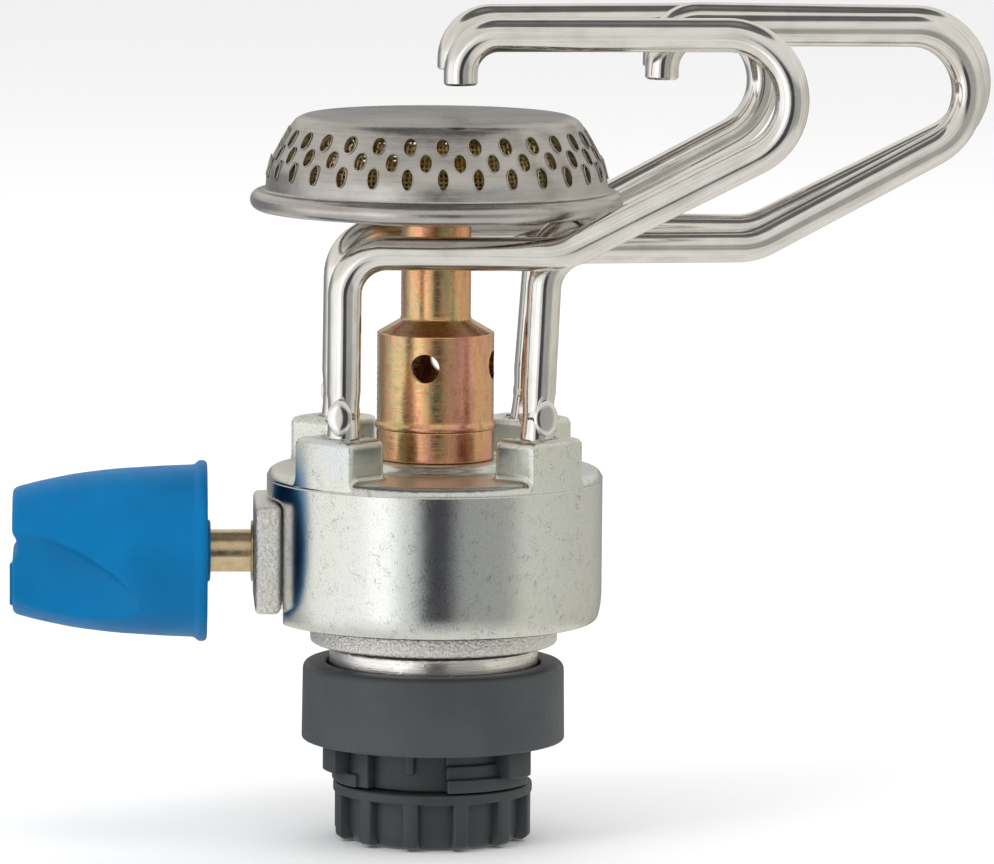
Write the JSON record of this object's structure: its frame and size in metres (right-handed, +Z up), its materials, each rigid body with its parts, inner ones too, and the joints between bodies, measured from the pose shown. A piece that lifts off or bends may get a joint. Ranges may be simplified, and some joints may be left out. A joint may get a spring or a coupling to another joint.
{
  "type": "camping stove",
  "caption": "Upright gas cartridge stove with a round perforated burner, swivelling wire pan supports, a side control knob and a twist-on cartridge coupling.",
  "frame": {"origin": "on the stove's own axis, at the flat bottom of the coupling nose that enters the cartridge", "axes": "+Z up along the burner and mixer tube, -X towards the control knob, +X the way the folded pan supports point"},
  "size_m": [0.1485, 0.0591, 0.1252],
  "materials": {
    "zinc_plated": "bright plated die-cast zinc with fine scratches",
    "cast_zinc": "rough sandy casting",
    "passivated_steel": "turned, yellow passivated with pink and green tints",
    "stainless_wire": "bright drawn wire",
    "stainless_sheet": "satin pressed sheet",
    "brass": "turned",
    "brass_mesh": "woven wire",
    "spring_steel": "bright",
    "blue_plastic": "satin moulded",
    "grey_plastic": "satin moulded",
    "black_rubber": "matte",
    "fibre": "pressed fibre"
  },
  "bodies": {
    "stove_body": {"support_housing": "zinc_plated", "valve_body": "cast_zinc", "jet_holder": "passivated_steel", "mixer_tube": "passivated_steel", "jet": "brass", "jet_washer": "fibre", "gas_filter": "brass", "burner_pan": "stainless_sheet", "burner_rivet_ring": "stainless_sheet", "burner_cap": "stainless_sheet", "burner_mesh": "brass_mesh", "gland_nut": "brass", "packing_washer": "fibre", "coupling_body": "grey_plastic", "coupling_nose": "grey_plastic", "coupling_clip": "spring_steel", "inlet_tube": "brass", "inlet_seal": "black_rubber", "nose_seal": "black_rubber", "collar_spring": "spring_steel"},
    "spindle_seals": {"spindle_seal_inner": "black_rubber", "spindle_seal_outer": "black_rubber"},
    "spindle_and_knob": {"spindle": "brass", "control_knob": "blue_plastic"},
    "sliding_collar": {"collar": "grey_plastic", "collar_ring": "spring_steel"},
    "arm_front_left": {"pan_support_front_left": "stainless_wire", "leg_washer_front_left": "spring_steel"},
    "arm_back_left": {"pan_support_back_left": "stainless_wire", "leg_washer_back_left": "spring_steel"},
    "arm_front_right": {"pan_support_front_right": "stainless_wire", "leg_washer_front_right": "spring_steel"},
    "arm_back_right": {"pan_support_back_right": "stainless_wire", "leg_washer_back_right": "spring_steel"}
  },
  "joints": [
    {"name": "spindle_travel", "type": "slide", "parent": "stove_body", "child": "spindle_seals", "axis": [-1, 0, 0], "range_m": [0, 0.0013]},
    {"name": "knob_turn", "type": "hinge", "parent": "spindle_seals", "child": "spindle_and_knob", "pos_m": [-0.045, 0, 0.0435], "axis": [-1, 0, 0], "range_deg": [0, 540]},
    {"name": "collar_slide", "type": "slide", "parent": "stove_body", "child": "sliding_collar", "axis": [0, 0, 1], "range_m": [0, 0.0025], "stiffness_N_per_m": 600, "springref_m": -0.003, "deforming": ["collar_spring"]},
    {"name": "front_left_swing", "type": "hinge", "parent": "stove_body", "child": "arm_front_left", "pos_m": [-0.0142, -0.0146, 0.057], "axis": [0, 0, 1], "range_deg": [-124, 0]},
    {"name": "front_right_swing", "type": "hinge", "parent": "stove_body", "child": "arm_front_right", "pos_m": [0.0142, -0.0146, 0.057], "axis": [0, 0, 1], "range_deg": [-60, 0]},
    {"name": "back_left_swing", "type": "hinge", "parent": "stove_body", "child": "arm_back_left", "pos_m": [-0.0142, 0.0146, 0.057], "axis": [0, 0, 1], "range_deg": [0, 124]},
    {"name": "back_right_swing", "type": "hinge", "parent": "stove_body", "child": "arm_back_right", "pos_m": [0.0142, 0.0146, 0.057], "axis": [0, 0, 1], "range_deg": [0, 40]}
  ],
  "couplings": [
    {"joint": "spindle_travel", "follows": "knob_turn", "m_per_rad": 0.00012732},
    {"joint": "front_right_swing", "follows": "front_left_swing", "ratio": 0.48},
    {"joint": "back_right_swing", "follows": "back_left_swing", "ratio": 0.32}
  ]
}
